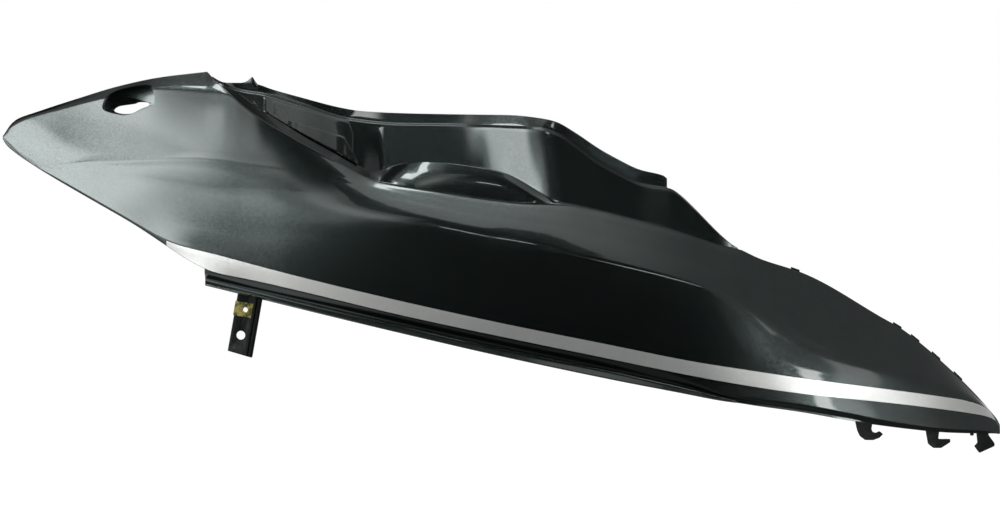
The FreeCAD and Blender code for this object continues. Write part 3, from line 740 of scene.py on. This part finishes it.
def build_field(name, edge, low, rise):
    """Raised field that follows the wall from low(x) up to its edge."""
    xs = []
    for a, b in zip(edge, edge[1:]):
        xs += spaced(a[0], b[0], FIELD_CELL)[:-1]
    xs.append(edge[-1][0])
    verts, faces = [], []
    for lift in (-rise, FIELD_SINK):
        for x, z1 in zip(xs, ramp(xs, edge)):
            z0 = low(x)
            for r in range(FIELD_CELLS + 1):
                z = z0 + (z1 - z0) * r / FIELD_CELLS
                verts.append(place(x, wall_depth(x, z) + lift, z))
    n, layer = FIELD_CELLS + 1, (FIELD_CELLS + 1) * len(xs)
    for i in range(len(xs) - 1):
        for r in range(FIELD_CELLS):
            a = i * n + r
            faces.append((a, a + n, a + n + 1, a + 1))
            faces.append((layer + a, layer + a + 1, layer + a + n + 1, layer + a + n))
        for a in (i * n, i * n + FIELD_CELLS):
            faces.append((a, a + n, layer + a + n, layer + a))
    last = (len(xs) - 1) * n
    for r in range(FIELD_CELLS):
        for a in (r, last + r):
            faces.append((a, a + 1, layer + a + 1, layer + a))
    return bevel(outward(mesh_object(name, verts, faces)), 0.3)


def build_fields():
    """Both raised fields of the wall."""
    def under_lower(x):
        return float(ramp(x, LOWER_FIELD)) - FIELD_LAP

    def on_foot(x):
        return float(foot([x])[0, 1]) + FIELD_CLEAR

    return [build_field("upper_field", UPPER_FIELD, under_lower, FIELD_RISE),
            build_field("lower_field", LOWER_FIELD, on_foot, 2 * FIELD_RISE)]


# Small locating tabs behind the tail's upper edge: their middles and width, and their section, as
# (depth behind the edge, height above it).
TABS, TAB_WIDTH = (723.5, 819, 836, 856, 877), 8
TAB_SECTION = [(0.6, -3.5), (3, -3.5), (3, 1.8), (0.6, 1.8)]


def build_tab(x, number):
    """Block that stands behind the edge and a little above it."""
    rings = []
    for s in (x - TAB_WIDTH / 2, x + TAB_WIDTH / 2):
        y, z = top([s])[0]
        rings.append([place(s, y + behind, z + above) for behind, above in TAB_SECTION])
    return bevel(prism("edge_tab_%d" % number, rings[0], rings[1]), 0.4)


def rounded(outline, per_side):
    """Closed smooth outline through the points."""
    n = len(outline)
    out = []
    for i in range(n):
        p0, p1, p2, p3 = (np.array(outline[(i + k) % n], float) for k in (-1, 0, 1, 2))
        for s in range(per_side):
            t = s / per_side
            out.append(tuple(0.5 * (2 * p1 + (p2 - p0) * t + (2 * p0 - 5 * p1 + 4 * p2 - p3) * t * t
                                    + (3 * p1 - p0 - 3 * p2 + p3) * t ** 3)))
    return out


def spread(outline, d):
    """Outline with every point moved out from its middle by a distance."""
    c = np.mean(np.array(outline), 0)
    out = []
    for p in outline:
        v = np.array(p) - c
        out.append(tuple(c + v * (1 + d / np.hypot(*v))))
    return out


# Screw pocket at the wing's upper edge: its mouth and the slot in its floor, as (x, z) outlines.
POCKET = [(93.5, 297), (93.5, 305), (97, 310), (104, 314.5), (114, 317.5), (125, 319.5), (134, 320),
          (138.5, 317.5), (140, 311), (139, 301), (127, 296), (117, 292.5), (108, 292.5)]
POCKET_SLOT = [(101.5, 297), (106, 301), (120, 303.2), (124.5, 304.8), (132, 304.5), (133.5, 302),
               (126, 298.8), (117.5, 294.6), (108, 294.4)]
# Depth of its floor, the floor's thickness and the wall's, and where the wall starts behind the face and
# stops below the panel's edge.
POCKET_FLOOR, POCKET_SHEET, POCKET_WALL = 60.0, 2, 2.2
POCKET_BEHIND, POCKET_BELOW = 1.2, 1.0
# Depths between which the mouth and the slot are cut.
MOUTH_CUT, SLOT_CUT = (20, 75), (30, 75)


def build_pocket():
    """Cuts the pocket's mouth in the skin and returns the bucket behind it."""
    mouth = rounded(POCKET, per_side=5)
    combine(skin, slab("cutter", mouth, *MOUTH_CUT), "DIFFERENCE")
    wide = spread(mouth, POCKET_WALL)
    edge = top([p[0] for p in wide])[:, 1]
    wide = [(x, min(z, limit - POCKET_BELOW)) for (x, z), limit in zip(wide, edge)]
    verts = []
    for outline, sheet in ((mouth, 0), (wide, POCKET_SHEET)):
        verts += [place(x, face_depth(x, z) + POCKET_BEHIND, z) for x, z in outline]
        verts += [place(x, POCKET_FLOOR + sheet, z) for x, z in outline]
    n = len(mouth)
    faces = []
    for i in range(n):
        k = (i + 1) % n
        faces.append((i, k, n + k, n + i))
        faces.append((2 * n + i, 3 * n + i, 3 * n + k, 2 * n + k))
        faces.append((i, 2 * n + i, 2 * n + k, k))
    faces.append(tuple(range(n, 2 * n)))
    faces.append(tuple(reversed(range(3 * n, 4 * n))))
    bucket = outward(mesh_object("screw_pocket", verts, faces))
    combine(bucket, slab("slot", rounded(POCKET_SLOT, per_side=4), *SLOT_CUT), "DIFFERENCE")
    return bevel(bucket, 0.4, degrees=50)


# Thickness of the film, and the share of its lowest cell that it leaves bare up to a station.
FILM_SHEET = 0.3
FILM_BARE, FILM_BARE_END = 0.6, PEAK + 3


def build_film():
    """Silver film over the band between the two stripe rails."""
    first, last = INDEX["stripe_top"], INDEX["stripe_low"]
    cols = [i for i, x in enumerate(XS) if STRIPE_START <= x <= STRIPE_END]
    verts, faces = [], []
    for c in cols:
        strip = ROWS[first:last + 1, c, :].copy()
        if XS[c] < FILM_BARE_END:
            strip[-1] = strip[-1] + (strip[-2] - strip[-1]) * FILM_BARE
        verts += [place(XS[c], y, z) for y, z in strip]
    n = last + 1 - first
    for i in range(len(cols) - 1):
        for r in range(n - 1):
            a = i * n + r
            faces.append((a, a + 1, a + n + 1, a + n))
    ob = mesh_object("stripe_film", verts, faces)
    thicken(ob, FILM_SHEET, outwards=True, even=False)
    smooth_shade(ob, degrees=60)
    return ob


def cover(ob, material):
    ob.data.materials.clear()
    ob.data.materials.append(material)


def dress(ob, material):
    """Gives a piece its material and ties it to the panel."""
    cover(ob, material)
    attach(ob, "root")


bucket = build_pocket()
smooth_shade(skin, degrees=40)
dress(skin, PAINT)
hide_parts("side_panel")
dress(bucket, PAINT)
dress(build_leg(), BLACK)
dress(build_spike(), PAINT)
for field in build_fields():
    dress(field, PAINT)
for number, outline in enumerate(HOOKS, 1):
    dress(build_hook(outline, number), BLACK)
for number, x in enumerate(TABS, 1):
    dress(build_tab(x, number), BLACK)
film = build_film()
dress(film, FILM)
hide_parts("stripe")
cover(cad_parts["clip_nut"], ZINC)


def look(ob, target):
    """Turns a camera or a lamp to a point."""
    ob.rotation_mode = "QUATERNION"
    ob.rotation_quaternion = (Vector(target) - ob.location).to_track_quat("-Z", "Y")


# Camera: the photograph's view, square on to the outside, with its distance in metres.
CENTRE = place(454.6, 0, 158.1)
DISTANCE, LENS, SENSOR = 3.5, 140, 36


def add_camera():
    data = bpy.data.cameras.new("camera")
    data.sensor_width = SENSOR
    data.lens = LENS
    cam = bpy.data.objects.new("camera", data)
    bpy.context.scene.collection.objects.link(cam)
    cam.location = (CENTRE[0], CENTRE[1] - DISTANCE, CENTRE[2])
    look(cam, CENTRE)
    bpy.context.scene.camera = cam


add_camera()

# The studio is seen by the paint as one wall of light, in metres on a plane in front of the panel:
# white at the left, a dark curtain in the middle, grey at the right, and the lamps.
WALL_Y = -3.0
WHITE, CURTAIN, GREY = 1.0, 0.01, 0.42
# The curtain's left edge, which leans to the right as it rises, and its right edge; each as start and end.
CURTAIN_LEAN, CURTAIN_LEFT, CURTAIN_RIGHT = 0.36, (-0.95, -0.65), (1.3, 2.0)
# Each lamp: left edge and its lean, right edge and its lean, softness of both, bottom, top, softness
# of both, and its level.
LAMPS = [(-2.25, 0.0, -1.22, 0.42, 0.25, -0.3, 1.0, 0.10, 9.0),
         (-1.36, 0.0, -0.82, 0.0, 0.22, 1.0, 2.15, 0.10, 6.2),
         (-1.2, 0.0, -0.62, 0.0, 0.2, 1.45, 2.1, 0.10, 2.6),
         (-1.2, 0.0, -0.1, 0.0, 0.25, 1.5, 2.4, 0.25, 1.2),
         (-2.6, 0.0, -1.15, 0.0, 0.25, -2.4, -0.1, 0.4, 0.8),
         (0.8, 0.0, 1.4, 0.0, 0.15, 0.75, 0.9, 0.03, 14.0),
         (2.09, -0.08, 2.36, -0.08, 0.05, -2.6, 0.0, 0.15, 12.5),
         (2.6, 0.08, 3.2, 0.2, 0.1, -1.9, 0.8, 0.15, 2.3),
         (0.29, 0.0, 0.48, 0.0, 0.03, 1.77, 1.88, 0.03, 10.0),
         (1.5, 0.0, 4.0, 0.0, 0.5, -3.4, -1.0, 0.4, 0.4)]
# Ceiling, seen by what faces upwards: grey at the left, bright over the shoulder and fading to the
# right, dark in front of that and behind, with a strip above the crest. The edges are start and end.
CEILING_Z = 3.0
CEILING, SHOULDER, FRONT, BEHIND = 0.6, 1.7, 0.06, 0.05
CEILING_LEFT, SHOULDER_FADE, BEHIND_FADE = (-0.2, -0.05), (0.5, 2.2), (2.0, 3.5)
# The front edge runs aslant, in x + y, and the back one is in y.
FRONT_EDGE, BACK_EDGE = (-1.65, -1.5), (-0.1, 0.3)
# Strip: left, right, softness of both, front, back, softness of both, and its level.
CREST_STRIP = (0.1, 0.62, 0.04, -0.62, -0.2, 0.05, 12.0)
# Dark table, seen by what faces downwards, and lighter at its left end.
TABLE_Z = -2.6
TABLE, TABLE_LEFT, TABLE_EDGE = 0.12, 0.8, (-0.95, -0.65)
# Small slanted lamp above the domed bulge, as (x, y) corners, its height and its level.
BULGE_LAMP = [(-0.12, -0.60), (-0.03, -0.60), (-0.04, -0.20), (-0.13, -0.20)]
BULGE_Z, BULGE_LEVEL = 1.0, 15.0
# How far the cards reach to the left, to the right, to the back, and up and down.
CARD_LEFT, CARD_RIGHT, CARD_BACK, CARD_HALF = -7, 40.0, 9, 7


def band(tree, low_value, high_value, low, high, soft):
    """One between low and high, fading to zero over soft on each side."""
    rise = soft_step(tree, low_value, low - soft, low + soft)
    fall = soft_step(tree, high_value, high - soft, high + soft, 1.0, 0.0)
    return maths(tree, "MULTIPLY", rise, fall)


def between(tree, factor, a, b):
    """Number from a to b by a factor."""
    node = node_of(tree, "ShaderNodeMix", data_type="FLOAT")
    for name, value in (("Factor", factor), ("A", a), ("B", b)):
        feed(tree, node.inputs[name], value)
    return node.outputs["Result"]


def add_lamp(tree, level, across, along, strength):
    """Level with a lamp of some strength added where both bands are one."""
    lamp = maths(tree, "MULTIPLY", across, along)
    return maths(tree, "ADD", level, maths(tree, "MULTIPLY", lamp, strength))


def glowing(name, level_at):
    """Light with a level worked out from the place, in metres."""
    material = bpy.data.materials.new(name)
    material.use_nodes = True
    tree = material.node_tree
    tree.nodes.clear()
    where = node_of(tree, "ShaderNodeSeparateXYZ")
    tree.links.new(node_of(tree, "ShaderNodeNewGeometry").outputs["Position"], where.inputs["Vector"])
    glow = node_of(tree, "ShaderNodeEmission")
    feed(tree, glow.inputs["Strength"], level_at(tree, *[where.outputs[k] for k in "XYZ"]))
    out = node_of(tree, "ShaderNodeOutputMaterial")
    tree.links.new(glow.outputs["Emission"], out.inputs["Surface"])
    return material


def wall_level(tree, x, y, z):
    def leaning(lean):
        return maths(tree, "SUBTRACT", x, maths(tree, "MULTIPLY", z, lean))

    level = between(tree, soft_step(tree, leaning(CURTAIN_LEAN), *CURTAIN_LEFT), WHITE, CURTAIN)
    level = between(tree, soft_step(tree, x, *CURTAIN_RIGHT), level, GREY)
    for x0, lean0, x1, lean1, soft_x, z0, z1, soft_z, strength in LAMPS:
        across = band(tree, leaning(lean0), leaning(lean1), x0, x1, soft_x)
        level = add_lamp(tree, level, across, band(tree, z, z, z0, z1, soft_z), strength)
    return level


def ceiling_level(tree, x, y, z):
    shoulder = between(tree, soft_step(tree, x, *SHOULDER_FADE), SHOULDER, GREY)
    level = between(tree, soft_step(tree, maths(tree, "ADD", x, y), *FRONT_EDGE), FRONT, shoulder)
    level = between(tree, soft_step(tree, x, *CEILING_LEFT), CEILING, level)
    behind = between(tree, soft_step(tree, x, *BEHIND_FADE), BEHIND, GREY)
    level = between(tree, soft_step(tree, y, *BACK_EDGE), level, behind)
    x0, x1, soft_x, y0, y1, soft_y, strength = CREST_STRIP
    return add_lamp(tree, level, band(tree, x, x, x0, x1, soft_x), band(tree, y, y, y0, y1, soft_y), strength)


def table_level(tree, x, y, z):
    return between(tree, soft_step(tree, x, *TABLE_EDGE), TABLE_LEFT, TABLE)


def bulge_level(tree, x, y, z):
    return BULGE_LEVEL


def only_in_reflections(ob):
    """Hides a card from everything but mirrored rays."""
    ob.visible_camera = False
    ob.visible_diffuse = False
    ob.visible_shadow = False
    ob.visible_transmission = False
    ob.visible_volume_scatter = False


def studio_card(name, corners, level_at):
    card = mesh_object(name, corners, [(0, 1, 2, 3)])
    cover(card, glowing(name, level_at))
    only_in_reflections(card)


def level_sheet(x0, x1, y0, y1, z):
    """Corners of a level rectangle."""
    return [(x0, y0, z), (x1, y0, z), (x1, y1, z), (x0, y1, z)]


studio_card("studio_wall", [(CARD_LEFT, WALL_Y, -CARD_HALF), (CARD_RIGHT, WALL_Y, -CARD_HALF),
                            (CARD_RIGHT, WALL_Y, CARD_HALF), (CARD_LEFT, WALL_Y, CARD_HALF)], wall_level)
studio_card("studio_ceiling", level_sheet(CARD_LEFT, CARD_RIGHT, WALL_Y, CARD_BACK, CEILING_Z), ceiling_level)
studio_card("bulge_lamp", [(x, y, BULGE_Z) for x, y in BULGE_LAMP], bulge_level)
studio_card("studio_table", level_sheet(CARD_LEFT, CARD_RIGHT, WALL_Y, CARD_BACK, TABLE_Z), table_level)

# Soft strip overhead, in metres and watts, for what scatters light; no reflection shows it.
STRIP_PLACE, STRIP_AIM = (0.1, -0.35, 2.6), (0.1, 0.0, 0.1)
STRIP_LENGTH, STRIP_WIDTH, STRIP_POWER = 2.2, 0.5, 14
# Level of the white surroundings for scattered light, the floor's own glow, its height and its colour.
AROUND, FLOOR_GLOW, FLOOR_Z, FLOOR_SHADE = 0.7, 0.66, -0.26, 0.5


def overhead_strip():
    """Lamp above the panel."""
    data = bpy.data.lights.new("overhead strip", "AREA")
    data.shape = "RECTANGLE"
    data.size, data.size_y = STRIP_LENGTH, STRIP_WIDTH
    data.energy = STRIP_POWER
    strip = bpy.data.objects.new("overhead strip", data)
    bpy.context.scene.collection.objects.link(strip)
    strip.location = STRIP_PLACE
    look(strip, STRIP_AIM)
    strip.visible_glossy = False


def sharply_seen(tree):
    """One for the camera's own rays and those that are mirrored or pass through, and zero for the others."""
    rays = node_of(tree, "ShaderNodeLightPath").outputs
    onwards = maths(tree, "MAXIMUM", rays["Is Glossy Ray"], rays["Is Transmission Ray"])
    return maths(tree, "MAXIMUM", rays["Is Camera Ray"], onwards)


def white_surroundings():
    """White all round, somewhat dimmer for scattered light."""
    world = bpy.data.worlds.new("studio")
    bpy.context.scene.world = world
    world.use_nodes = True
    tree = world.node_tree
    background = tree.nodes["Background"]
    background.inputs["Color"].default_value = (1, 1, 1, 1)
    tree.links.new(between(tree, sharply_seen(tree), AROUND, 1.0), background.inputs["Strength"])
    world.cycles.sampling_method = "NONE"


def floor_material():
    """Pale floor: it takes the panel's shadow, and its own glow to the camera brings it to white."""
    material, tree, shader = base_material("pale floor", rough=0.8)
    shader.inputs["Base Color"].default_value = (FLOOR_SHADE, FLOOR_SHADE, FLOOR_SHADE, 1)
    shader.inputs["Specular IOR Level"].default_value = 0.0
    shader.inputs["Emission Color"].default_value = (1, 1, 1, 1)
    glow = maths(tree, "MULTIPLY", sharply_seen(tree), FLOOR_GLOW)
    tree.links.new(glow, shader.inputs["Emission Strength"])
    return material


overhead_strip()
white_surroundings()
floor = mesh_object("floor", level_sheet(-30, 30, -12, 60, FLOOR_Z), [(0, 1, 2, 3)])
cover(floor, floor_material())
floor.visible_glossy = False

bpy.context.scene.view_settings.view_transform = "Standard"
